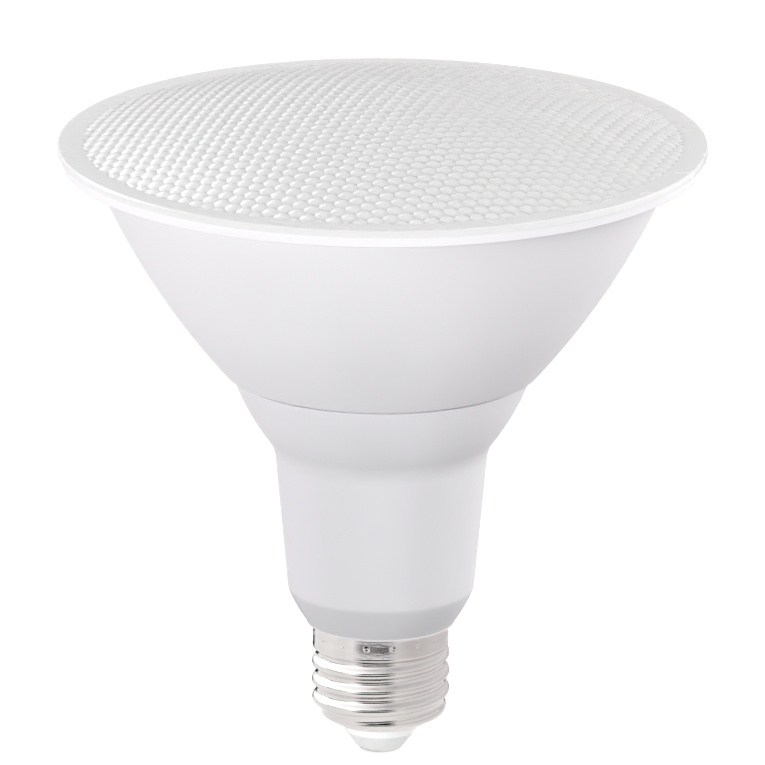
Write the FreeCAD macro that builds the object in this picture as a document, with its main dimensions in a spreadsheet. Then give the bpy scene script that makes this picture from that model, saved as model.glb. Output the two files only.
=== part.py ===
import FreeCAD, Part
import math
import os

import Sketcher

# A reflector-shaped spotlight lamp with a screw base, lens up and base down.
# Millimetres. +Z runs along the lamp's axis towards the lens, and the origin is
# the middle of the lowest face, the centre contact of the screw base.

SIZES = [
    # Centre contact, a riveted button at the foot of the base
    ("contact_radius", 4.15, "radius of the contact button"),
    ("contact_height", 0.75, "height of the button below the insulator"),
    ("contact_round", 0.35, "rounding of the button's lower edge"),
    ("rivet_radius", 1.4, "radius of the rivet stem inside the insulator"),
    ("rivet_length", 3.2, "length of the rivet stem above the button"),
    # Insulator, the tapered cup between the contact and the screw shell
    ("insulator_foot_radius", 4.6, "radius of the insulator where it meets the button"),
    ("insulator_shoulder_radius", 6.8, "radius of the insulator's shoulder"),
    ("insulator_shoulder_height", 3.7, "height of that shoulder above the contact's lowest face"),
    ("insulator_core_radius", 9.8, "radius of the insulator's core inside the screw shell"),
    ("insulator_core_height", 8.6, "height of the top of that core"),
    ("seat_gap", 0.08, "clearance of the insulator in the screw shell"),
    # Screw shell, thin plated sheet with a rolled thread
    ("sheet", 0.3, "thickness of the screw shell's sheet"),
    ("shell_foot_height", 5.1, "height of the shell's lower edge"),
    ("shell_foot_radius", 7.2, "outer radius of the shell's lower edge"),
    ("shell_foot_bow", 6.0, "radius of the bowl that draws the shell in to its lower edge"),
    ("shell_top_height", 25.4, "height of the shell's upper edge"),
    ("thread_crest_radius", 13.05, "outer radius of the thread's crests"),
    ("thread_depth", 0.84, "depth of the rolled thread"),
    ("thread_pitch", 3.629, "rise of the thread in one turn, seven turns to the inch"),
    ("thread_crest_height", 11.9, "height of one crest on the +X side, which sets where it starts"),
    ("thread_turns", 4, "full turns of the ridge, the lowest trimmed off by the bowl"),
    ("ridge_sink", 0.1, "how far the ridge's feet run on inside the wall"),
    ("ridge_core", 11.0, "radius that the ridge's section reaches down to, inside the wall"),
    ("ridge_core_width", 1.0, "width of the ridge's section there"),
    ("trim_height", 7.3, "height above which the ridge starts to stand out of the bowl"),
    ("trim_clearance", 0.1, "how far outside the crests the trimming cut ends"),
    ("head_fade_rise", 2.2, "how far up the ridge runs on at its head while it fades"),
    ("head_fade_angle", 11, "slope in degrees at which it sinks into the band there"),
    ("band_radius", 12.88, "outer radius of the plain band above the thread"),
    ("band_foot_height", 20.3, "height where the wall starts to widen to the band"),
    ("band_rise", 0.9, "height of that widening"),
    ("shell_lip", 0.35, "flare of the shell's upper edge"),
    ("shell_lip_height", 0.6, "height of that flare"),
    ("cut_over", 0.5, "how far a cutting section runs past the piece"),
    ("fit_gap", 0.3, "clearance between a piece and the piece it slides into"),
    # Lower housing, the neck with a collar on top
    ("neck_edge_radius", 14.0, "radius of the neck's lower edge, over the shell"),
    ("neck_corner_radius", 17.65, "radius of the neck above its lower bevel"),
    ("neck_corner_height", 32.1, "height where the bevel ends"),
    ("neck_bevel_bow", 14.0, "radius of the bevel's bowed section"),
    ("neck_top_radius", 20.25, "radius of the neck below the collar"),
    ("neck_top_height", 60.6, "height where the collar begins"),
    ("collar_radius", 28.4, "radius of the collar's upper edge"),
    ("collar_bow", 30.0, "radius of the collar's bowed section"),
    ("neck_corner_round", 3.0, "rounding between the bevel and the neck"),
    ("neck_top_round", 3.5, "rounding between the neck and the collar"),
    ("spigot_length", 13.0, "length of the neck's spigot inside the screw shell"),
    # Upper housing, the flared shell with a flange
    ("seam_height", 75.2, "height of the seam between the two housings"),
    ("housing_foot_radius", 29.8, "radius of the upper housing at the seam"),
    ("housing_bow", 144.0, "radius of the flare's bowed section"),
    ("housing_top_radius", 54.7, "radius of the flare below the flange"),
    ("flange_radius", 60.9, "radius of the flange's upper edge"),
    ("flange_draft", 0.5, "how much narrower the flange is at its lower edge"),
    ("flange_height", 2.1, "height of the flange's edge"),
    ("flange_step", 0.9, "rise of the flange's underside from the flare outwards"),
    ("flange_top_height", 118.1, "height of the flange's upper face, the lens seat"),
    ("seam_round", 0.5, "rounding of the upper housing's lower edge"),
    ("small_round", 0.3, "rounding of the other moulded edges"),
    # Lens, one moulding: a flat rim, a skirt below it and a crowned window
    ("lens_radius", 61.2, "outer radius of the lens rim"),
    ("rim_height", 1.4, "height of the rim above its seat"),
    ("rim_bevel", 0.4, "bevel of the rim's upper edge"),
    ("window_radius", 56.2, "radius of the window inside the flat rim"),
    ("skirt_wall", 1.8, "thickness of the skirt that locates the lens"),
    ("skirt_depth", 2.0, "depth of the skirt below the seat"),
    ("crown", 9.0, "rise of the window from its edge to its middle"),
    ("window_drop", 0.1, "how far the window's edge lies below the rim"),
    ("window_bury", 1.2, "how far the window runs on inside the rim"),
    ("lens_wall", 2.4, "thickness of the window"),
]


class Size:
    """A number together with the sheet expression it comes from."""

    def __init__(self, value, text):
        self.value = float(value)
        self.text = text

    def _pair(self, other, result, sign):
        if not isinstance(other, Size):
            other = Size(other, repr(other))
        return Size(result(self.value, other.value), "(%s %s %s)" % (self.text, sign, other.text))

    def __add__(self, other):
        return self._pair(other, lambda a, b: a + b, "+")

    def __sub__(self, other):
        return self._pair(other, lambda a, b: a - b, "-")

    def __mul__(self, other):
        return self._pair(other, lambda a, b: a * b, "*")

    def __truediv__(self, other):
        return self._pair(other, lambda a, b: a / b, "/")

    def root(self):
        return Size(math.sqrt(self.value), "sqrt(%s)" % self.text)


AXIS = Size(0, "0")

doc = FreeCAD.newDocument("spotlight_bulb")
sheet = doc.addObject("Spreadsheet::Sheet", "sizes")
size = {}
for row, (alias, value, meaning) in enumerate(SIZES, start=1):
    sheet.set("A%d" % row, meaning)
    sheet.set("B%d" % row, str(value))
    sheet.setAlias("B%d" % row, alias)
    size[alias] = Size(value, "sizes." + alias)
doc.recompute()


def new_body(name):
    body = doc.addObject("PartDesign::Body", name)
    body.Label = name
    return body


def origin_plane(body, role):
    for feature in body.Origin.OriginFeatures:
        if feature.Role == role:
            return feature
    raise ValueError("no origin plane " + role)


def arc_between(start, end, radius, side):
    """The shorter arc of this radius from start to end; side 1 bows to the left of the way."""
    chord = end - start
    half = chord.Length / 2
    left = FreeCAD.Vector(-chord.y, chord.x, 0).normalize()
    drop = math.sqrt(radius ** 2 - half ** 2)
    centre = (start + end) / 2 - left * (side * drop)
    middle = centre + left * (side * radius)
    return Part.Arc(start, middle, end)


def turned_outline(body, name, corners, arcs=None):
    """A closed half section on the body's XZ plane, every corner and arc tied to the sheet.

    corners: the outline's (radius, height) pairs in order, as Size values.
    arcs: for the edge that leaves corner k, its (radius, side); other edges are straight.
    """
    arcs = arcs or {}
    sketch = body.newObject("Sketcher::SketchObject", name)
    sketch.AttachmentSupport = [(origin_plane(body, "XZ_Plane"), "")]
    sketch.MapMode = "FlatFace"
    points = [FreeCAD.Vector(radius.value, height.value, 0) for radius, height in corners]
    ends = []
    for index, start in enumerate(points):
        end = points[(index + 1) % len(points)]
        if index in arcs:
            radius, side = arcs[index]
            sketch.addGeometry(arc_between(start, end, radius.value, side))
            ends.append((2, 1) if side > 0 else (1, 2))
        else:
            sketch.addGeometry(Part.LineSegment(start, end))
            ends.append((1, 2))
    for index in range(len(points)):
        after = (index + 1) % len(points)
        joint = Sketcher.Constraint("Coincident", index, ends[index][1], after, ends[after][0])
        sketch.addConstraint(joint)
    for index, (radius, height) in enumerate(corners):
        tie_corner(sketch, index, ends[index][0], radius, height)
    for index, (radius, side) in arcs.items():
        number = sketch.addConstraint(Sketcher.Constraint("Radius", index, radius.value))
        sketch.setExpression("Constraints[%d]" % number, radius.text)
    return sketch


def tie_corner(sketch, index, end, radius, height):
    """Tie one corner to the sheet, or to a sketch axis where its distance is nothing."""
    for kind, distance, axis in (("DistanceX", radius, -2), ("DistanceY", height, -1)):
        if distance is AXIS:
            sketch.addConstraint(Sketcher.Constraint("PointOnObject", index, end, axis))
        else:
            constraint = Sketcher.Constraint(kind, -1, 1, index, end, distance.value)
            number = sketch.addConstraint(constraint)
            sketch.setExpression("Constraints[%d]" % number, distance.text)


def revolved(body, name, corners, arcs=None, cut=False):
    """Turn a half section about the body's axis, added to the body or cut from it."""
    sketch = turned_outline(body, name + "_section", corners, arcs)
    kind = "PartDesign::Groove" if cut else "PartDesign::Revolution"
    turn = body.newObject(kind, name)
    turn.Profile = sketch
    turn.ReferenceAxis = (sketch, ["V_Axis"])
    turn.Angle = 360
    doc.recompute()
    return turn


def turned(name, corners, arcs=None, rounds=()):
    """A body of revolution. rounds lists the circular edges to round: radius, height, rounding."""
    body = new_body(name)
    last = revolved(body, name + "_turn", corners, arcs)
    for number, (radius, height, rounding) in enumerate(rounds, start=1):
        fillet = body.newObject("PartDesign::Fillet", "%s_round%d" % (name, number))
        fillet.Base = (last, [circular_edge(last.Shape, radius.value, height.value)])
        fillet.setExpression("Radius", rounding.text)
        doc.recompute()
        last = fillet
    body.Tip = last
    return body


def circular_edge(shape, radius, height):
    """The name of the shape's circular edge nearest to this radius and height."""
    def distance(edge):
        curve = edge.Curve
        return abs(curve.Radius - radius) + abs(curve.Center.z - height)

    circles = [
        (distance(edge), "Edge%d" % number)
        for number, edge in enumerate(shape.Edges, start=1)
        if isinstance(edge.Curve, Part.Circle)
    ]
    return min(circles)[1]


def make_contact():
    top = size["contact_height"]
    stem_top = top + size["rivet_length"]
    corners = [
        (AXIS, AXIS),
        (size["contact_radius"], AXIS),
        (size["contact_radius"], top),
        (size["rivet_radius"], top),
        (size["rivet_radius"], stem_top),
        (AXIS, stem_top),
    ]
    rounds = [(size["contact_radius"], AXIS, size["contact_round"])]
    return turned("centre_contact", corners, rounds=rounds)


def bowl_top():
    """The height where the shell's bowl meets its straight wall."""
    bow = size["shell_foot_bow"]
    inward = bow - (thread_root() - size["shell_foot_radius"])
    return size["shell_foot_height"] + (bow * bow - inward * inward).root()


def thread_root():
    return size["thread_crest_radius"] - size["thread_depth"]


def make_insulator():
    """The cup under the shell: a cone, a neck through the shell's hole and a core above it."""
    hole = size["rivet_radius"] + size["seat_gap"]
    neck = size["shell_foot_radius"] - size["seat_gap"]
    core = size["insulator_core_radius"]
    foot = size["contact_height"]
    inner_bow = size["shell_foot_bow"] - size["sheet"] - size["seat_gap"]
    bowl_centre = thread_root() - size["shell_foot_bow"]

    def on_bowl(radius):
        across = radius - bowl_centre
        return bowl_top() - (inner_bow * inner_bow - across * across).root()

    corners = [
        (hole, foot),
        (size["insulator_foot_radius"], foot),
        (size["insulator_shoulder_radius"], size["insulator_shoulder_height"]),
        (neck, size["shell_foot_height"]),
        (neck, on_bowl(neck)),
        (core, on_bowl(core)),
        (core, size["insulator_core_height"]),
        (hole, size["insulator_core_height"]),
    ]
    return turned("insulator", corners, arcs={4: (inner_bow, -1)})


def make_lower_housing():
    """The neck with its collar, and a spigot that fills the screw shell."""
    spigot = thread_root() - size["sheet"] - size["fit_gap"]
    seat = size["shell_top_height"]
    corner = (size["neck_corner_radius"], size["neck_corner_height"])
    neck_top = (size["neck_top_radius"], size["neck_top_height"])
    corners = [
        (AXIS, seat - size["spigot_length"]),
        (spigot, seat - size["spigot_length"]),
        (spigot, seat),
        (size["neck_edge_radius"], seat),
        corner,
        neck_top,
        (size["collar_radius"], size["seam_height"]),
        (AXIS, size["seam_height"]),
    ]
    arcs = {3: (size["neck_bevel_bow"], -1), 5: (size["collar_bow"], -1)}
    rounds = [
        (size["neck_edge_radius"], seat, size["small_round"]),
        corner + (size["neck_corner_round"],),
        neck_top + (size["neck_top_round"],),
    ]
    return turned("lower_housing", corners, arcs, rounds)


def make_upper_housing():
    """The flared housing with the flange that carries the lens."""
    top = size["flange_top_height"]
    flange_foot = top - size["flange_height"]
    flare_top = (size["housing_top_radius"], flange_foot - size["flange_step"])
    flange_low = (size["flange_radius"] - size["flange_draft"], flange_foot)
    foot = (size["housing_foot_radius"], size["seam_height"])
    recess = size["window_radius"] + size["skirt_wall"] + size["fit_gap"]
    recess_floor = top - size["skirt_depth"] - size["fit_gap"]
    corners = [
        (AXIS, size["seam_height"]),
        foot,
        flare_top,
        flange_low,
        (size["flange_radius"], top),
        (recess, top),
        (recess, recess_floor),
        (AXIS, recess_floor),
    ]
    rounds = [
        foot + (size["seam_round"],),
        flange_low + (size["small_round"],),
    ]
    return turned("upper_housing", corners, {1: (size["housing_bow"], -1)}, rounds)


def make_lens():
    """The rim with its skirt, and the crowned window fused into it."""
    seat = size["flange_top_height"]
    rim_top = seat + size["rim_height"]
    skirt_foot = seat - size["skirt_depth"]
    window = size["window_radius"]
    skirt = window + size["skirt_wall"]
    outside = size["lens_radius"]
    bevel = size["rim_bevel"]
    rim_corners = [
        (window, skirt_foot),
        (skirt, skirt_foot),
        (skirt, seat),
        (outside, seat),
        (outside, rim_top - bevel),
        (outside - bevel, rim_top),
        (window, rim_top),
    ]
    rim = turned("lens_rim", rim_corners)
    crown = size["crown"]
    bow = (window * window + crown * crown) / (crown * 2)
    top = rim_top - size["window_drop"] + crown
    inner_bow = bow - size["lens_wall"]
    edge = window + size["window_bury"]

    def on_sphere(sphere, radius):
        return top - bow + (sphere * sphere - radius * radius).root()

    window_corners = [
        (AXIS, top - size["lens_wall"]),
        (edge, on_sphere(inner_bow, edge)),
        (edge, on_sphere(bow, edge)),
        (AXIS, top),
    ]
    pane = turned("lens_window", window_corners, {0: (inner_bow, 1), 2: (bow, -1)})
    lens = doc.addObject("Part::Fuse", "lens")
    lens.Label = "lens"
    lens.Base = rim
    lens.Tool = pane
    return lens


def ridge_section(body, name, height):
    """The rolled ridge in section: a crest arc between two root arcs of the same radius."""
    half = size["thread_pitch"] / 2
    depth = size["thread_depth"] + size["ridge_sink"]
    rolled = (half * half + depth * depth) / (depth * 4)
    over = size["ridge_sink"] / 2
    root = thread_root() - over
    inward = rolled - over
    reach = half - (rolled * rolled - inward * inward).root()
    flank = size["thread_crest_radius"] - depth / 2
    core = size["ridge_core"]
    core_reach = size["ridge_core_width"] / 2
    corners = [
        (core, height - core_reach),
        (root, height - reach),
        (flank, height - half / 2),
        (flank, height + half / 2),
        (root, height + reach),
        (core, height + core_reach),
    ]
    return turned_outline(body, name, corners, {1: (rolled, 1), 2: (rolled, -1), 3: (rolled, 1)})


def helix(body, name, section, rise, slope=None):
    """Wind a section up round the axis; a slope in degrees lets it sink towards the axis."""
    thread = body.newObject("PartDesign::AdditiveHelix", name)
    thread.Profile = section
    thread.ReferenceAxis = (section, ["V_Axis"])
    thread.Mode = "pitch-height-angle"
    thread.setExpression("Pitch", size["thread_pitch"].text)
    thread.setExpression("Height", rise.text)
    if slope:
        thread.setExpression("Angle", "-" + slope.text)
    doc.recompute()
    return thread


def trim_thread_foot(body, bowl_radius, bowl_foot):
    """Cut off all that stands out of the bowl, and round the ridge off above it."""
    bowl_bow = size["shell_foot_bow"]
    below = bowl_top() - size["trim_height"]
    start = bowl_radius + (bowl_bow * bowl_bow - below * below).root()
    end = size["thread_crest_radius"] + size["trim_clearance"]
    across = end - start
    bow = (across * across + below * below) / (across * 2)
    outside = end + size["cut_over"]
    under = bowl_foot - size["thread_pitch"]
    corners = [
        (bowl_radius, bowl_foot),
        (start, size["trim_height"]),
        (end, bowl_top()),
        (outside, bowl_top()),
        (outside, under),
        (bowl_radius, under),
    ]
    revolved(body, "trim", corners, {0: (bowl_bow, -1), 1: (bow, -1)}, cut=True)


def make_screw_shell():
    """The rolled sheet: a bowl, a wall with the thread's ridge wound round it and a band."""
    body = new_body("screw_shell")
    rim = size["shell_foot_radius"]
    wall = thread_root()
    top = size["shell_top_height"]
    bow = size["shell_foot_bow"]
    bowl_foot = bowl_top() - bow
    wall_corners = [
        (AXIS, bowl_foot),
        (wall - bow, bowl_foot),
        (wall, bowl_top()),
        (wall, top),
        (AXIS, top),
    ]
    revolved(body, "wall", wall_corners, {1: (bow, -1)})

    pitch = size["thread_pitch"]
    rise = pitch * size["thread_turns"]
    start = size["thread_crest_height"] - pitch * 2
    helix(body, "thread", ridge_section(body, "ridge_start", start), rise)
    trim_thread_foot(body, wall - bow, bowl_foot)
    last = ridge_section(body, "ridge_end", start + rise)
    helix(body, "thread_head", last, size["head_fade_rise"], size["head_fade_angle"])

    core = size["ridge_core"]
    band = size["band_radius"]
    band_foot = size["band_foot_height"]
    band_top = band_foot + size["band_rise"]
    lip_foot = top - size["shell_lip_height"]
    band_corners = [
        (core, band_foot),
        (wall, band_foot),
        (band, band_top),
        (band, lip_foot),
        (band + size["shell_lip"], top),
        (core, top),
    ]
    revolved(body, "band", band_corners)

    metal = size["sheet"]
    inner_bow = bow - metal
    across = rim - (wall - bow)
    hole_top = bowl_top() - (inner_bow * inner_bow - across * across).root()
    under = bowl_foot - size["cut_over"]
    over = top + size["cut_over"]
    hollow_corners = [
        (AXIS, under),
        (rim, under),
        (rim, hole_top),
        (wall - metal, bowl_top()),
        (wall - metal, band_foot + metal),
        (band - metal, band_top + metal),
        (band - metal, over),
        (AXIS, over),
    ]
    body.Tip = revolved(body, "hollow", hollow_corners, {2: (inner_bow, -1)}, cut=True)
    return body


def main():
    makers = [
        make_lens,
        make_upper_housing,
        make_lower_housing,
        make_screw_shell,
        make_insulator,
        make_contact,
    ]
    pieces = [make() for make in makers]
    doc.recompute()
    for entry in doc.Objects:
        if "Invalid" in entry.State or "Error" in entry.State:
            raise RuntimeError("failed: " + entry.Name)
    for piece in pieces:
        if piece.Shape.isNull() or not piece.Shape.isValid():
            raise RuntimeError("bad shape: " + piece.Label)
        if len(piece.Shape.Solids) != 1:
            raise RuntimeError("not one solid: " + piece.Label)
    os.makedirs("parts", exist_ok=True)
    for piece in pieces:
        piece.Shape.exportStep(os.path.join("parts", piece.Label + ".step"))
        print(piece.Label, round(piece.Shape.Volume / 1000, 2), "cubic centimetres")


main()
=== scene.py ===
import math

import bmesh
import bpy
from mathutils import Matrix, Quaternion, Vector


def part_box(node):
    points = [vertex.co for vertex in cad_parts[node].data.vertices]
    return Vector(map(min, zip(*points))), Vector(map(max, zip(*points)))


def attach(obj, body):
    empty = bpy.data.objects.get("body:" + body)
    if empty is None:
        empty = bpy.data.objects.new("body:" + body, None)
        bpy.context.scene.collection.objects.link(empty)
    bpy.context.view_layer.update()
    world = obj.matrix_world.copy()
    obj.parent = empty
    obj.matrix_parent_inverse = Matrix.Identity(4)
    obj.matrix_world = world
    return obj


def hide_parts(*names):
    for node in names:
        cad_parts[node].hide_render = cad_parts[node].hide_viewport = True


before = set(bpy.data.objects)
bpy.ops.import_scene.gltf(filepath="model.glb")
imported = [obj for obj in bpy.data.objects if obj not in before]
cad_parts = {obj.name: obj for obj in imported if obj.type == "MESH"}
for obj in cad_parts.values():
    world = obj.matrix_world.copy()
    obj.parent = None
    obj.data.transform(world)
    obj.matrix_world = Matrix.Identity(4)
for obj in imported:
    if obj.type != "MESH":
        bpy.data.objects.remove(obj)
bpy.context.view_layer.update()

# Metres. The lamp stands on its centre contact, lens up, and its axis is the Z axis.
MM = 0.001
node_boxes = {name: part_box(name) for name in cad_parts}

# Lens: a crowned window of small domes inside a flat rim, as the part's source sizes it
LENS_RADIUS = node_boxes["lens"][1].x
WINDOW_RADIUS = 56.2 * MM
CROWN = 9.0 * MM
WINDOW_DROP = 0.1 * MM
RIM_HEIGHT = 1.4 * MM
RIM_ROUND = 0.4 * MM
SKIRT_RADIUS = 58.0 * MM
SKIRT_DEPTH = 2.0 * MM
LENS_WALL = 2.4 * MM
RIM_TOP = node_boxes["lens"][1].z - CROWN + WINDOW_DROP
SEAT = RIM_TOP - RIM_HEIGHT
# What differs from the source: the window's edge stands higher and meets the rim in a slope,
# and the domes' tops keep clear of the CAD's box
WINDOW_LIFT = 0.4 * MM
STEP_SLOPE = 0.3 * MM
BOX_MARGIN = 0.001 * MM
# The domes are equal spheres on a hexagonal grid, turned about the lamp's axis
DOME_PITCH = 2.91 * MM
DOME_RADIUS = 2.9 * MM
DOME_TURN = math.radians(-44.4)
DOME_STEPS = 3
# A little more than the way from a cell's middle to its corner
CELL_REACH = 0.6 * DOME_PITCH
EDGE_HALVINGS = 30
WELD = 0.02 * MM
SLIVER = 0.005 * MM
# Columns and rows of the turned meshes, and the angle from which an edge is sharp
COLUMNS = 192
RIM_ROUND_STEPS = 6
LENS_INNER_ROWS = 10
CREASE = math.radians(35)

# Screw shell: the thread is rolled out of a bowl-footed tube, with crimps round its plain band
SHELL_TOP = node_boxes["screw_shell"][1].z
SHELL_FOOT = node_boxes["screw_shell"][0].z
SHELL_FOOT_RADIUS = 7.2 * MM
SHELL_SHEET = 0.3 * MM
BOWL_BOW = 6.0 * MM
CREST_RADIUS = 13.05 * MM
THREAD_DEPTH = 0.84 * MM
THREAD_PITCH = 3.629 * MM
THREAD_CREST = 11.9 * MM
THREAD_START, THREAD_START_RISE = 6.4 * MM, 1.7 * MM
THREAD_END, THREAD_END_RISE = 20.0 * MM, 1.4 * MM
SHELL_WALL = CREST_RADIUS - THREAD_DEPTH
BAND_RADIUS = 12.88 * MM
LIP, LIP_HEIGHT = 0.35 * MM, 0.6 * MM
CRIMPS = 16
CRIMP_TURN = math.radians(-79.4)
CRIMP_HEIGHT = 23.4 * MM
CRIMP_ROUND = 0.7 * MM
CRIMP_DEPTH = 0.14 * MM
SHELL_COLUMNS = 320
SHELL_ROWS = 130
# The plain inside of the sheet
INNER_STEP = 0.4 * MM
INNER_COLUMNS = 96
INNER_BOWL_STEPS = 8

# Lower housing: a spigot in the shell, the neck with a lip at its foot and a bevel over it, and
# the collar with a groove under the seam. Points are (radius, height).
SPIGOT_RADIUS = 11.61 * MM
NECK_FOOT = Vector((14.05 * MM, SHELL_TOP))
NECK_EDGE = Vector((14.05 * MM, SHELL_TOP + 0.3 * MM))
NECK_CORNER = Vector((17.65 * MM, 32.1 * MM))
NECK_TOP = Vector((20.25 * MM, 60.2 * MM))
COLLAR_EDGE = Vector((28.35 * MM, 74.5 * MM))
GROOVE_RADIUS = 27.6 * MM
# The bevel and the collar are bowed, and their corners are softened over a length either way
BEVEL_BOW, BEVEL_STEPS = 36.0 * MM, 12
COLLAR_BOW, COLLAR_STEPS = 46.0 * MM, 16
CORNER_SOFT, CORNER_STEPS = 0.8 * MM, 5
NECK_TOP_SOFT, NECK_TOP_STEPS = 2.4 * MM, 8
LIP_SOFT, LIP_STEPS = 0.25 * MM, 5
NECK_CREASE = math.radians(20)

# Finishes
PLASTIC_IOR = 1.49
LENS_COLOUR = (0.86, 0.86, 0.86)
UPPER_COLOUR, UPPER_ROUGHNESS = (0.79, 0.78, 0.799), 0.32
LOWER_COLOUR, LOWER_ROUGHNESS = (0.675, 0.667, 0.69), 0.34
INSULATOR_COLOUR, INSULATOR_ROUGHNESS = (0.97, 0.97, 0.975), 0.25
NICKEL_COLOUR = (0.86, 0.84, 0.83)
CONTACT_COLOUR = (0.86, 0.85, 0.83)
# Steps of a housing's tone: between two heights it turns to this factor of its colour
# Painted shade: the upper housing is darker low on its flare, below 76 mm. Painted light: the
# flange's band under the lens is lighter, as if it caught more light.
UPPER_PAINTED_LIGHT_AND_SHADE = [((76 * MM, 92 * MM), 1.07), ((SEAT - 2.4 * MM, SEAT - 2.2 * MM), 1.155)]
# Painted shade: the bevel over the shell is darker. The lip under it and the neck above the bevel's
# corner keep the plain colour, and the collar is lighter.
LOWER_TONES_AND_PAINTED_SHADE = [
    ((SHELL_TOP + 0.25 * MM, SHELL_TOP + 0.35 * MM), 0.9),
    ((31.9 * MM, 32.6 * MM), 1.0),
    ((59.0 * MM, 66.0 * MM), 1.08),
]
# A clouded tone runs from its darker to its lighter end between these values of the noise
CLOUD_SPAN = (0.3, 0.7)

# Surroundings. The room and the table are white for the camera. Reflections see one tone on
# the left and another on the right, which change over a span of X.
AMBIENT = 0.03
SKY_SPAN = (math.sin(math.radians(20)), math.sin(math.radians(50)))
SKY_LOW, SKY_HIGH = 1.0, 0.8
ROOM_LEFT, ROOM_RIGHT = (1.4, 1.4, 1.4), (0.75, 0.73, 0.73)
ROOM_SPAN = (-0.6, 0.15)
TABLE_LEFT, TABLE_RIGHT = (0.72, 0.71, 0.70), (0.34, 0.30, 0.30)
TABLE_SPAN = (0, 60 * MM)
FLOOR_SIZE = 12.0
FLOOR_COLOUR = (0.38, 0.38, 0.38)
FLOOR_GLOW = 0.75

# Lamps: azimuth, elevation, distance, width, height, power, colour, and whether reflections
# see it.
WHITE = (1.0, 1.0, 1.0)
LAMPS = {
    "front": (-30, 8, 2.2, 1.0, 0.5, 41.5, WHITE, False),
    "back_left_high": (-140, 40, 1.8, 1.2, 0.8, 8.7, WHITE, True),
    "edge_right": (115, 15, 1.8, 0.6, 1.4, 32, WHITE, False),
    "edge_left": (-115, 15, 1.8, 0.6, 1.4, 12, (1.0, 0.95, 1.0), True),
    "right": (65, 20, 1.8, 1.0, 1.4, 18, WHITE, False),
    "top": (180, 78, 1.6, 1.4, 1.2, 3.4, WHITE, True),
}

# Dark cards that only reflections see, so that the bright metal has contrast: two azimuths, and
# the radius and height of the near and of the far edge
CARD_LIFT = 0.2 * MM
CARDS = {
    # The cards that lie flat on the floor close round the foot, under the flare, are painted
    # shadow: they darken the floor there for reflections, where the lamp shades it.
    "shadow_card_near": ((-45, 26), (32 * MM, CARD_LIFT), (68 * MM, CARD_LIFT)),
    "dark_card_band": ((-45, 26), (82 * MM, CARD_LIFT), (89 * MM, CARD_LIFT)),
    "dark_card_front": ((-45, 26), (600 * MM, CARD_LIFT), (575 * MM, 190 * MM)),
    "dark_card_left": ((-130, -50), (600 * MM, CARD_LIFT), (600 * MM, 60 * MM)),
    "shadow_card_back": ((145, 179), (25 * MM, CARD_LIFT), (68 * MM, CARD_LIFT)),
    "shadow_card_back_left": ((-181, -140), (25 * MM, CARD_LIFT), (90 * MM, CARD_LIFT)),
}
CARD_COLOUR = (0.02, 0.02, 0.02)
CARD_STEPS = 8
# The share of a card's half width from which it begins to fade
CARD_FADE = 0.55

# Camera: the photograph's, fitted to the rim, the seam and the thread
IMAGE_SIZE = 765
PIXELS_PER_METRE = 5285.0
CAMERA_DISTANCE, CAMERA_ELEVATION = 2.5, 16.5
TARGET_HEIGHT = 72.1 * MM
AXIS_PIXEL = (381.7, 383.76)
CAMERA_ROLL = math.radians(0.22)
SENSOR = 36.0


def new_object(name, data):
    item = bpy.data.objects.new(name, data)
    bpy.context.scene.collection.objects.link(item)
    return item


# What the turned meshes share
def ring(bm, radius, height, columns=COLUMNS):
    """A circle of vertices, in the order of their angle."""
    verts = []
    for column in range(columns):
        turn = -math.pi + 2 * math.pi * column / columns
        verts.append(bm.verts.new((radius * math.cos(turn), radius * math.sin(turn), height)))
    return verts


def angle_of(vert):
    return math.atan2(vert.co.y, vert.co.x)


def zip_rings(bm, outer, inner):
    """Smooth faces between two rings, which may have different numbers of vertices."""
    def angles(verts):
        return [angle_of(vert) for vert in verts] + [angle_of(verts[0]) + 2 * math.pi]

    outer_turns, inner_turns = angles(outer), angles(inner)
    same = len(outer) == len(inner)
    i = j = 0
    while i < len(outer) or j < len(inner):
        a, after_a = outer[i % len(outer)], outer[(i + 1) % len(outer)]
        b, after_b = inner[j % len(inner)], inner[(j + 1) % len(inner)]
        if same:
            corners = (a, after_a, after_b, b)
            i, j = i + 1, j + 1
        elif j == len(inner) or (i < len(outer) and outer_turns[i + 1] <= inner_turns[j + 1]):
            corners = (a, after_a, b)
            i += 1
        else:
            corners = (a, after_b, b)
            j += 1
        bm.faces.new(corners).smooth = True


def close_ring(bm, verts, height):
    """Faces from a ring to a point on the axis."""
    pole = bm.verts.new((0, 0, height))
    for column, vert in enumerate(verts):
        bm.faces.new((vert, verts[(column + 1) % len(verts)], pole)).smooth = True


def arc(centre, radius, first, last, steps):
    """Points of a round corner in the half section, angles in degrees from outward to up."""
    points = []
    for step in range(steps + 1):
        turn = math.radians(first + (last - first) * step / steps)
        points.append((centre[0] + radius * math.cos(turn), centre[1] + radius * math.sin(turn)))
    return points


def finish_mesh(bm, name, crease):
    """The mesh with its faces turned outward, and its edges sharp where they turn further."""
    bmesh.ops.recalc_face_normals(bm, faces=bm.faces)
    for edge in bm.edges:
        if len(edge.link_faces) == 2 and edge.calc_face_angle(0) > crease:
            edge.smooth = False
    mesh = bpy.data.meshes.new(name)
    bm.to_mesh(mesh)
    bm.free()
    return mesh


# Lens mesh
def crown_sphere():
    """Radius and centre height of the sphere that the domes' tops touch."""
    crown = CROWN - WINDOW_LIFT
    radius = (WINDOW_RADIUS ** 2 + crown ** 2) / (2 * crown)
    return radius, RIM_TOP - WINDOW_DROP + CROWN - radius - BOX_MARGIN


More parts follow.
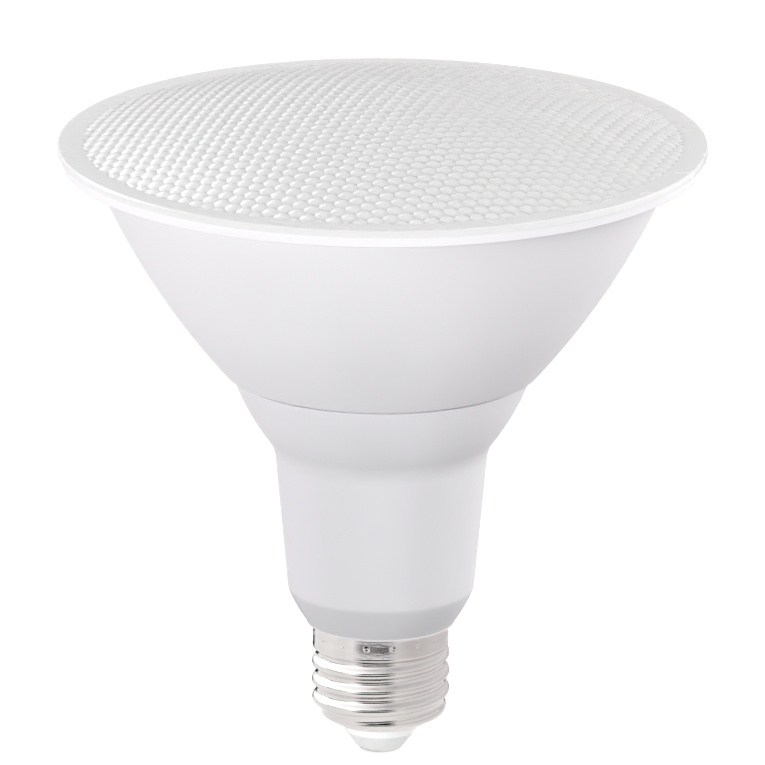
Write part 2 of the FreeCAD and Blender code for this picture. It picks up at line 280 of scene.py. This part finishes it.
class Domes:
    """The window's upper surface: equal spheres on a hexagonal grid, standing on the crown."""

    def __init__(self):
        self.crown_radius, self.crown_centre = crown_sphere()
        self.bm = bmesh.new()
        self.cell_of = self.bm.faces.layers.int.new("cell")

    def direction(self, x, y):
        """Unit vector from the crown's centre to the crown's surface above this place."""
        up = math.sqrt(self.crown_radius ** 2 - x * x - y * y)
        return Vector((x, y, up)) / self.crown_radius

    def on_dome(self, ray, dome):
        """Where a ray from the crown's centre leaves the dome's sphere."""
        ray = ray.normalized()
        centre = dome * (self.crown_radius - DOME_RADIUS)
        along = ray.dot(centre)
        reach = along + math.sqrt(along ** 2 - centre.length_squared + DOME_RADIUS ** 2)
        return ray * reach

    def add_cell(self, cell, x, y):
        """A hexagon of six sectors, whose corners lie between three domes each."""
        dome = self.direction(x, y)
        around = []
        for side in range(6):
            turn = DOME_TURN + side * math.pi / 3
            next_x, next_y = x + DOME_PITCH * math.cos(turn), y + DOME_PITCH * math.sin(turn)
            around.append(self.direction(next_x, next_y))
        corners = [
            self.between(dome, around[side], around[(side + 1) % 6]) for side in range(6)
        ]
        for side in range(6):
            self.add_sector(cell, dome, corners[side], corners[(side + 1) % 6])

    def between(self, first, second, third):
        """The direction that is equally far from three others."""
        middle = (second - first).cross(third - first).normalized()
        return middle if middle.z > 0 else -middle

    def add_sector(self, cell, dome, first, second):
        """One sixth of a cell, divided into small triangles."""
        steps = DOME_STEPS

        def ray(i, j):
            return dome + (first - dome) * (i / steps) + (second - dome) * (j / steps)

        for i in range(steps):
            for j in range(steps - i):
                near, right, left = ray(i, j), ray(i + 1, j), ray(i, j + 1)
                self.add_triangle(cell, dome, (near, right, left))
                if i + j < steps - 1:
                    self.add_triangle(cell, dome, (right, ray(i + 1, j + 1), left))

    def add_triangle(self, cell, dome, rays):
        """A triangle on the dome, cut off at the window's edge."""
        places = [self.on_dome(ray, dome) for ray in rays]
        inside = [place.xy.length <= WINDOW_RADIUS for place in places]
        if not any(inside):
            return
        outline = []
        for k in range(3):
            after = (k + 1) % 3
            if inside[k]:
                outline.append(places[k])
            if inside[k] != inside[after]:
                outline.append(self.at_edge(dome, rays[k], rays[after], inside[k]))
        centre = Vector((0, 0, self.crown_centre))
        face = self.bm.faces.new([self.bm.verts.new(place + centre) for place in outline])
        face.smooth = True
        face[self.cell_of] = cell

    def at_edge(self, dome, start, end, start_inside):
        """The point between two rays where the dome's surface crosses the window's edge."""
        low, high = (start, end) if start_inside else (end, start)
        for _ in range(EDGE_HALVINGS):
            middle = (low + high) / 2
            if self.on_dome(middle, dome).xy.length <= WINDOW_RADIUS:
                low = middle
            else:
                high = middle
        place = self.on_dome(low, dome)
        scale = WINDOW_RADIUS / place.xy.length
        return Vector((place.x * scale, place.y * scale, place.z))

    def build(self):
        """All cells, welded, with a crease along each cell's border. Returns the edge's points."""
        row_spacing = DOME_PITCH * math.sin(math.pi / 3)
        reach = math.ceil((WINDOW_RADIUS + CELL_REACH) / row_spacing)
        first = Vector((math.cos(DOME_TURN), math.sin(DOME_TURN))) * DOME_PITCH
        turned = DOME_TURN + math.pi / 3
        second = Vector((math.cos(turned), math.sin(turned))) * DOME_PITCH
        cell = 0
        for i in range(-reach, reach + 1):
            for j in range(-reach, reach + 1):
                place = first * i + second * j
                if place.length < WINDOW_RADIUS + CELL_REACH:
                    self.add_cell(cell, place.x, place.y)
                    cell += 1
        bmesh.ops.remove_doubles(self.bm, verts=self.bm.verts, dist=WELD)
        bmesh.ops.dissolve_degenerate(self.bm, edges=self.bm.edges, dist=SLIVER)
        border = set()
        for edge in self.bm.edges:
            cells = {face[self.cell_of] for face in edge.link_faces}
            edge.smooth = len(edge.link_faces) == 2 and len(cells) == 1
            if len(edge.link_faces) == 1:
                border.update(edge.verts)
        return sorted(border, key=angle_of)


def make_lens():
    """The whole lens as one closed mesh: domes, rim, skirt and smooth underside."""
    domes = Domes()
    border = domes.build()
    bm = domes.bm
    out = 1 + STEP_SLOPE / WINDOW_RADIUS
    step_top = [bm.verts.new((vert.co.x * out, vert.co.y * out, RIM_TOP)) for vert in border]
    zip_rings(bm, step_top, border)
    section = [(WINDOW_RADIUS + 2 * STEP_SLOPE, RIM_TOP)]
    section += arc((LENS_RADIUS - RIM_ROUND, RIM_TOP - RIM_ROUND), RIM_ROUND, 90, 0,
                   RIM_ROUND_STEPS)
    section += [
        (LENS_RADIUS, SEAT),
        (SKIRT_RADIUS, SEAT),
        (SKIRT_RADIUS, SEAT - SKIRT_DEPTH),
        (WINDOW_RADIUS, SEAT - SKIRT_DEPTH),
    ]
    crown_radius, crown_centre = crown_sphere()
    inner_radius = crown_radius - LENS_WALL
    for row in range(LENS_INNER_ROWS):
        across = WINDOW_RADIUS * (1 - row / LENS_INNER_ROWS)
        section.append((across, crown_centre + math.sqrt(inner_radius ** 2 - across ** 2)))
    previous = step_top
    for radius, height in section:
        following = ring(bm, radius, height)
        zip_rings(bm, following, previous)
        previous = following
    close_ring(bm, previous, crown_centre + inner_radius)
    lens = new_object("lens_moulding", finish_mesh(bm, "lens_surface", CREASE))
    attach(lens, "root")
    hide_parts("lens")
    return lens


# Screw shell mesh
def smooth_step(value):
    value = min(max(value, 0), 1)
    return value * value * (3 - 2 * value)


def bowl():
    """Radius of the bowl's centre line, the bowl's turn, and the height where the wall begins."""
    middle = SHELL_WALL - BOWL_BOW
    bend = math.acos((SHELL_FOOT_RADIUS - middle) / BOWL_BOW)
    return middle, bend, SHELL_FOOT + BOWL_BOW * math.sin(bend)


def shell_line(share):
    """A point of the shell's plain outer line, from foot to top, and the way out of the sheet."""
    middle, bend, wall_foot = bowl()
    along = share * (BOWL_BOW * bend + SHELL_TOP - wall_foot)
    turn = along / BOWL_BOW - bend
    if turn < 0:
        out = (math.cos(turn), math.sin(turn))
        return middle + BOWL_BOW * out[0], wall_foot + BOWL_BOW * out[1], out
    return SHELL_WALL, wall_foot + along - BOWL_BOW * bend, (1, 0)


def thread_wave(height, turn):
    """How far the thread stands out of its root: equal arcs for its crest and its root."""
    half = THREAD_PITCH / 2
    roll = (half ** 2 + THREAD_DEPTH ** 2) / (4 * THREAD_DEPTH)
    along = height - THREAD_CREST - THREAD_PITCH * turn / (2 * math.pi)
    across = abs(along - THREAD_PITCH * round(along / THREAD_PITCH))
    if across < half / 2:
        return THREAD_DEPTH - roll + math.sqrt(roll ** 2 - across ** 2)
    return roll - math.sqrt(roll ** 2 - (half - across) ** 2)


def crimp_dent(height, turn):
    """The depth of the round dent that is struck into the band, where there is one."""
    step = 2 * math.pi / CRIMPS
    aside = turn - CRIMP_TURN
    aside = (aside - step * round(aside / step)) * BAND_RADIUS
    reach = CRIMP_ROUND ** 2 - aside ** 2 - (height - CRIMP_HEIGHT) ** 2
    return max(0, math.sqrt(max(0, reach)) - CRIMP_ROUND + CRIMP_DEPTH)


def pressed_out(height, turn):
    """How far the sheet is pressed out of its plain line: thread, band, lip and crimps."""
    out = thread_wave(height, turn) * smooth_step((height - THREAD_START) / THREAD_START_RISE)
    band = BAND_RADIUS - SHELL_WALL
    out += (band - out) * smooth_step((height - THREAD_END) / THREAD_END_RISE)
    out += LIP * smooth_step((height - SHELL_TOP + LIP_HEIGHT) / LIP_HEIGHT)
    return out - crimp_dent(height, turn)


def make_screw_shell():
    """The sheet as one closed mesh: the rolled outside, the upper edge and a plain inside."""
    bm = bmesh.new()
    rings = []
    for row in range(SHELL_ROWS + 1):
        radius, height, way = shell_line(row / SHELL_ROWS)
        verts = []
        for column in range(SHELL_COLUMNS):
            turn = -math.pi + 2 * math.pi * column / SHELL_COLUMNS
            out = pressed_out(height, turn)
            across, up = radius + out * way[0], height + out * way[1]
            verts.append(bm.verts.new((across * math.cos(turn), across * math.sin(turn), up)))
        rings.append(verts)
    inner_bow = BOWL_BOW - SHELL_SHEET
    middle, _, wall_foot = bowl()
    inner_bend = math.degrees(math.acos((SHELL_FOOT_RADIUS - middle) / inner_bow))
    inside = [
        (BAND_RADIUS + LIP - SHELL_SHEET, SHELL_TOP),
        (BAND_RADIUS - SHELL_SHEET, SHELL_TOP - LIP_HEIGHT),
        (BAND_RADIUS - SHELL_SHEET, THREAD_END + THREAD_END_RISE),
        (SHELL_WALL - SHELL_SHEET, THREAD_END + INNER_STEP),
    ]
    inside += arc((middle, wall_foot), inner_bow, 0, -inner_bend, INNER_BOWL_STEPS)
    rings += [ring(bm, radius, height, INNER_COLUMNS) for radius, height in inside]
    for k, verts in enumerate(rings):
        zip_rings(bm, verts, rings[k - 1])
    shell = new_object("rolled_shell", finish_mesh(bm, "shell_surface", CREASE))
    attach(shell, "root")
    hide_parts("screw_shell")
    return shell


# Lower housing mesh
def bowed(first, second, bow, cut_first, cut_second, steps):
    """Points of an outward arc between two section points, each end cut short by a length."""
    along = (second - first).normalized()
    out = Vector((along.y, -along.x))
    half = math.asin((second - first).length / 2 / bow)
    centre = (first + second) / 2 - out * bow * math.cos(half)
    low, high = cut_first / bow - half, half - cut_second / bow
    points = []
    for step in range(steps + 1):
        turn = low + (high - low) * step / steps
        points.append(centre + (out * math.cos(turn) + along * math.sin(turn)) * bow)
    return points


def softened(before, tip, after, steps):
    """Points of a rounded corner between two section points, leaving out both of them."""
    points = []
    for step in range(1, steps):
        share = step / steps
        points.append(before.lerp(tip, share).lerp(tip.lerp(after, share), share))
    return points


def make_lower_housing():
    """The neck turned as one closed mesh, with the spigot inside the shell."""
    low, top = node_boxes["lower_housing"][0].z, node_boxes["lower_housing"][1].z
    bevel = bowed(NECK_EDGE, NECK_CORNER, BEVEL_BOW, 0, CORNER_SOFT, BEVEL_STEPS)
    up = (NECK_TOP - NECK_CORNER).normalized()
    wall = [NECK_CORNER + up * CORNER_SOFT, NECK_TOP - up * NECK_TOP_SOFT]
    collar = bowed(NECK_TOP, COLLAR_EDGE, COLLAR_BOW, NECK_TOP_SOFT, LIP_SOFT, COLLAR_STEPS)
    ledge = COLLAR_EDGE - Vector((LIP_SOFT, 0))
    section = [(SPIGOT_RADIUS, low), (SPIGOT_RADIUS, SHELL_TOP), NECK_FOOT] + bevel
    section += softened(bevel[-1], NECK_CORNER, wall[0], CORNER_STEPS) + wall
    section += softened(wall[1], NECK_TOP, collar[0], NECK_TOP_STEPS) + collar
    section += softened(collar[-1], COLLAR_EDGE, ledge, LIP_STEPS)
    section += [ledge, (GROOVE_RADIUS, ledge.y), (GROOVE_RADIUS, top)]
    bm = bmesh.new()
    rings = [ring(bm, radius, height) for radius, height in section]
    for below, above in zip(rings, rings[1:]):
        zip_rings(bm, below, above)
    close_ring(bm, rings[0], low)
    close_ring(bm, rings[-1], top)
    housing = new_object("neck_moulding", finish_mesh(bm, "neck_surface", NECK_CREASE))
    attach(housing, "root")
    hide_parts("lower_housing")
    return housing


# Materials
def shade(colour, factor):
    return tuple(channel * factor for channel in colour)


def opaque(colour):
    return (*colour, 1)


class Tree:
    """A node tree, with short calls for the nodes that the materials and the world share."""

    def __init__(self, owner):
        owner.use_nodes = True
        self.nodes = owner.node_tree.nodes
        self.links = owner.node_tree.links

    def feed(self, socket, value):
        """Link another node's output to the socket, or set a plain value on it."""
        if isinstance(value, bpy.types.NodeSocket):
            self.links.new(value, socket)
        else:
            socket.default_value = value

    def operate(self, kind, operation, values):
        """The result of a maths node, for numbers or for vectors."""
        node = self.nodes.new(kind)
        node.operation = operation
        for socket, value in zip(node.inputs, values):
            self.feed(socket, value)
        return next(output for output in node.outputs if output.enabled)

    def maths(self, operation, *values):
        return self.operate("ShaderNodeMath", operation, values)

    def vector(self, operation, *values):
        return self.operate("ShaderNodeVectorMath", operation, values)

    def remap(self, source, span, low, high):
        """Low up to the span's start, high from its end on, and an even change between them."""
        node = self.nodes.new("ShaderNodeMapRange")
        node.inputs["From Min"].default_value = span[0]
        node.inputs["From Max"].default_value = span[1]
        node.inputs["To Min"].default_value = low
        node.inputs["To Max"].default_value = high
        self.links.new(source, node.inputs["Value"])
        return node.outputs["Result"]

    def mix(self, share, first, second, kind="RGBA"):
        """A mix of two colours, or of two numbers or vectors where the kind says so."""
        node = self.nodes.new("ShaderNodeMix")
        node.data_type = kind
        used = [socket for socket in node.inputs if socket.enabled]
        for socket, value in zip(used, (share, first, second)):
            self.feed(socket, value)
        return next(output for output in node.outputs if output.enabled)

    def axis(self, source, name):
        """One of the source's coordinates, by its letter."""
        split = self.nodes.new("ShaderNodeSeparateXYZ")
        self.links.new(source, split.inputs["Vector"])
        return split.outputs[name]

    def ray(self, kind):
        return self.nodes.new("ShaderNodeLightPath").outputs[kind]

    def seen(self):
        """1 for a ray from the camera, a reflection or a view through glass, 0 for light."""
        shown = self.maths("MAXIMUM", self.ray("Is Camera Ray"), self.ray("Is Glossy Ray"))
        return self.maths("MAXIMUM", shown, self.ray("Is Transmission Ray"))

    def reflected_tone(self, across, span, left, right):
        """White for the camera; for reflections one tone left of the span, one right of it."""
        side = self.mix(self.remap(across, span, 0, 1), opaque(left), opaque(right))
        return self.mix(self.ray("Is Glossy Ray"), opaque(WHITE), side)


class Shader(Tree):
    """A material, with short calls for the nodes that the finishes share."""

    def __init__(self, name):
        self.material = bpy.data.materials.new(name)
        super().__init__(self.material)
        self.surface = self.nodes["Principled BSDF"]
        self.place = self.nodes.new("ShaderNodeTexCoord").outputs["Object"]

    def set(self, **values):
        """Set or link inputs of the surface by name, with _ for each space."""
        for name, value in values.items():
            self.feed(self.surface.inputs[name.replace("_", " ")], value)

    def noise(self, scale, detail=2.0, stretch=None):
        node = self.nodes.new("ShaderNodeTexNoise")
        node.inputs["Scale"].default_value = scale
        node.inputs["Detail"].default_value = detail
        source = self.place
        if stretch:
            mapping = self.nodes.new("ShaderNodeMapping")
            mapping.inputs["Scale"].default_value = stretch
            self.links.new(source, mapping.inputs["Vector"])
            source = mapping.outputs["Vector"]
        self.links.new(source, node.inputs["Vector"])
        return node.outputs["Fac"]

    def clouded(self, cloud, colour, low, high=1.0):
        """The colour, drifting with the noise between two factors of it."""
        node = self.nodes.new("ShaderNodeValToRGB")
        for element, position, factor in zip(node.color_ramp.elements, CLOUD_SPAN, (low, high)):
            element.position = position
            element.color = opaque(shade(colour, factor))
        self.links.new(cloud, node.inputs["Fac"])
        return node.outputs["Color"]

    def uneven(self, scale, low, high):
        """A value that drifts between two others with a noise of this scale."""
        return self.remap(self.noise(scale), (0, 1), low, high)

    def bump(self, source, depth, strength):
        node = self.nodes.new("ShaderNodeBump")
        node.inputs["Distance"].default_value = depth
        node.inputs["Strength"].default_value = strength
        self.links.new(source, node.inputs["Height"])
        self.set(Normal=node.outputs["Normal"])

    def in_window(self, amount=1.0):
        """This amount in the lens's window, and nothing outside it."""
        across = self.vector("LENGTH", self.vector("MULTIPLY", self.place, (1, 1, 0)))
        return self.remap(across, (WINDOW_RADIUS, WINDOW_RADIUS + STEP_SLOPE), amount, 0)

    def smooth_window(self, amount):
        """Shade as if the window's surface were partly the plain crown without its domes."""
        centre = (0, 0, crown_sphere()[1])
        crown = self.vector("NORMALIZE", self.vector("SUBTRACT", self.place, centre))
        domed = self.nodes.new("ShaderNodeNewGeometry").outputs["Normal"]
        mixed = self.mix(self.in_window(amount), domed, crown, "VECTOR")
        self.set(Normal=self.vector("NORMALIZE", mixed))


def plastic(name, colour, roughness, tones_with_painted_light=()):
    """Smooth moulded plastic with a faint unevenness of tone, gloss and surface."""
    shader = Shader(name)
    tone = shader.clouded(shader.noise(scale=28, detail=3), colour, low=0.985)
    # Height steps of tone: painted light and shade on the housings.
    for heights, factor in tones_with_painted_light:
        share = shader.remap(shader.axis(shader.place, "Z"), heights, 0, 1)
        tone = shader.mix(share, tone, opaque(shade(colour, factor)))
    gloss = shader.uneven(scale=60, low=roughness * 0.92, high=roughness * 1.08)
    shader.set(Base_Color=tone, Roughness=gloss, IOR=PLASTIC_IOR)
    shader.bump(shader.noise(scale=900, detail=1), depth=0.004 * MM, strength=0.3)
    return shader.material


def lens_plastic():
    """A clear coat that follows the domes over a pale inside, which lies deeper and is smoother."""
    shader = Shader("lens_plastic")
    cloud = shader.noise(scale=35, detail=3)
    window = shader.clouded(cloud, LENS_COLOUR, low=0.985)
    rim = shader.clouded(cloud, LENS_COLOUR, low=0.925, high=0.94)
    shader.set(Base_Color=shader.mix(shader.in_window(), rim, window), IOR=PLASTIC_IOR)
    shader.set(Roughness=shader.uneven(scale=80, low=0.24, high=0.3), Specular_IOR_Level=0.2)
    shader.set(Coat_Weight=1.0, Coat_Roughness=0.12, Coat_IOR=PLASTIC_IOR)
    shader.smooth_window(amount=0.8)
    return shader.material


def nickel():
    """Bright plating with a faint drawn grain round the shell."""
    shader = Shader("shell_nickel")
    cloud = shader.noise(scale=160, detail=3, stretch=(1, 1, 6))
    gloss = shader.uneven(scale=220, low=0.05, high=0.1)
    shader.set(Base_Color=shader.clouded(cloud, NICKEL_COLOUR, low=0.95))
    shader.set(Roughness=gloss, Metallic=1.0)
    grain = shader.noise(scale=700, stretch=(1, 1, 4))
    shader.bump(grain, depth=0.006 * MM, strength=0.4)
    return shader.material


def contact_metal():
    """Plating that is a little duller than the shell's."""
    shader = Shader("contact_metal")
    gloss = shader.uneven(scale=400, low=0.16, high=0.26)
    shader.set(Base_Color=shader.clouded(shader.noise(scale=300), CONTACT_COLOUR, low=0.93))
    shader.set(Roughness=gloss, Metallic=1.0)
    return shader.material


def paint(piece, material):
    piece.data.materials.clear()
    piece.data.materials.append(material)


# Stage: floor, world, lamps, cards and camera
def matt(name, colour):
    shader = Shader(name)
    shader.set(Base_Color=opaque(colour), Roughness=1.0, Specular_IOR_Level=0.0)
    return shader


def floor_material():
    """A floor that glows white for the camera and toned for reflections, and keeps the shadow."""
    shader = matt("floor_white", FLOOR_COLOUR)
    across = shader.axis(shader.place, "X")
    tone = shader.reflected_tone(across, TABLE_SPAN, TABLE_LEFT, TABLE_RIGHT)
    glow = shader.maths("MULTIPLY", shader.seen(), FLOOR_GLOW)
    shader.set(Emission_Color=tone, Emission_Strength=glow)
    return shader.material


def make_floor():
    mesh = bpy.data.meshes.new("floor")
    half = FLOOR_SIZE / 2
    corners = [(-half, -half, 0), (half, -half, 0), (half, half, 0), (-half, half, 0)]
    mesh.from_pydata(corners, [], [(0, 1, 2, 3)])
    floor = new_object("floor", mesh)
    paint(floor, floor_material())


def make_world():
    """A white room for the camera and toned for reflections, and hardly any light of its own."""
    world = bpy.data.worlds.new("studio")
    bpy.context.scene.world = world
    tree = Tree(world)
    background = tree.nodes["Background"]
    way = tree.nodes.new("ShaderNodeTexCoord").outputs["Generated"]
    tone = tree.reflected_tone(tree.axis(way, "X"), ROOM_SPAN, ROOM_LEFT, ROOM_RIGHT)
    tree.links.new(tone, background.inputs["Color"])
    shown = tree.remap(tree.axis(way, "Z"), SKY_SPAN, SKY_LOW, SKY_HIGH)
    strength = tree.mix(tree.seen(), AMBIENT, shown, "FLOAT")
    tree.links.new(strength, background.inputs["Strength"])


def place(item, azimuth, elevation, distance):
    """Put a lamp or the camera round the object, turned to it."""
    a, e = math.radians(azimuth), math.radians(elevation)
    back = Vector((math.sin(a) * math.cos(e), -math.cos(a) * math.cos(e), math.sin(e)))
    item.location = Vector((0, 0, TARGET_HEIGHT)) + back * distance
    item.rotation_mode = "QUATERNION"
    item.rotation_quaternion = (-back).to_track_quat("-Z", "Y")


def make_lamp(name, azimuth, elevation, distance, width, height, power, colour, reflected):
    data = bpy.data.lights.new(name, "AREA")
    data.shape = "RECTANGLE"
    data.size, data.size_y = width, height
    data.energy = power
    data.color = colour
    lamp = new_object(name, data)
    place(lamp, azimuth, elevation, distance)
    lamp.visible_glossy = reflected


def make_card(name, azimuths, near, far):
    """A strip round the lamp's axis, between two azimuths and two places (radius, height)."""
    verts, faces = [], []
    for step in range(CARD_STEPS + 1):
        turn = math.radians(azimuths[0] + (azimuths[1] - azimuths[0]) * step / CARD_STEPS)
        for radius, height in (near, far):
            verts.append((radius * math.sin(turn), -radius * math.cos(turn), height))
    for step in range(CARD_STEPS):
        k = 2 * step
        faces.append((k, k + 1, k + 3, k + 2))
    mesh = bpy.data.meshes.new(name)
    mesh.from_pydata(verts, [], faces)
    card = new_object(name, mesh)
    paint(card, card_material(name, azimuths))
    card.visible_camera = False
    card.visible_diffuse = False
    card.visible_shadow = False
    card.visible_transmission = False


def card_material(name, azimuths):
    """Black, and clear towards the card's two ends."""
    shader = matt(name, CARD_COLOUR)
    forward = shader.maths("MULTIPLY", shader.axis(shader.place, "Y"), -1.0)
    turn = shader.maths("ARCTAN2", shader.axis(shader.place, "X"), forward)
    middle = math.radians(sum(azimuths) / 2)
    half = math.radians(azimuths[1] - azimuths[0]) / 2
    aside = shader.maths("ABSOLUTE", shader.maths("SUBTRACT", turn, middle))
    clear = shader.nodes.new("ShaderNodeBsdfTransparent")
    faded = shader.nodes.new("ShaderNodeMixShader")
    share, inner, outer = faded.inputs
    shader.feed(share, shader.remap(aside, (half * CARD_FADE, half), 0, 1))
    shader.feed(inner, shader.surface.outputs["BSDF"])
    shader.feed(outer, clear.outputs["BSDF"])
    shader.feed(shader.nodes["Material Output"].inputs["Surface"], faded.outputs["Shader"])
    return shader.material


def make_camera():
    data = bpy.data.cameras.new("photo_camera")
    data.sensor_width = SENSOR
    data.lens = CAMERA_DISTANCE * SENSOR / (IMAGE_SIZE / PIXELS_PER_METRE)
    data.shift_x = (IMAGE_SIZE / 2 - AXIS_PIXEL[0]) / IMAGE_SIZE
    data.shift_y = (AXIS_PIXEL[1] - IMAGE_SIZE / 2) / IMAGE_SIZE
    camera = new_object("photo_camera", data)
    place(camera, 0, CAMERA_ELEVATION, CAMERA_DISTANCE)
    camera.rotation_quaternion @= Quaternion((0, 0, 1), CAMERA_ROLL)
    bpy.context.scene.camera = camera


make_camera()
make_world()
make_floor()
for name, settings in LAMPS.items():
    make_lamp(name, *settings)
for name, settings in CARDS.items():
    make_card(name, *settings)
bpy.context.scene.view_settings.view_transform = "Standard"

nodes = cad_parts
paint(make_lens(), lens_plastic())
paint(nodes["upper_housing"], plastic("upper_plastic", UPPER_COLOUR, UPPER_ROUGHNESS, UPPER_PAINTED_LIGHT_AND_SHADE))
paint(make_lower_housing(), plastic("lower_plastic", LOWER_COLOUR, LOWER_ROUGHNESS, LOWER_TONES_AND_PAINTED_SHADE))
paint(make_screw_shell(), nickel())
paint(nodes["insulator"], plastic("insulator_white", INSULATOR_COLOUR, INSULATOR_ROUGHNESS))
paint(nodes["centre_contact"], contact_metal())
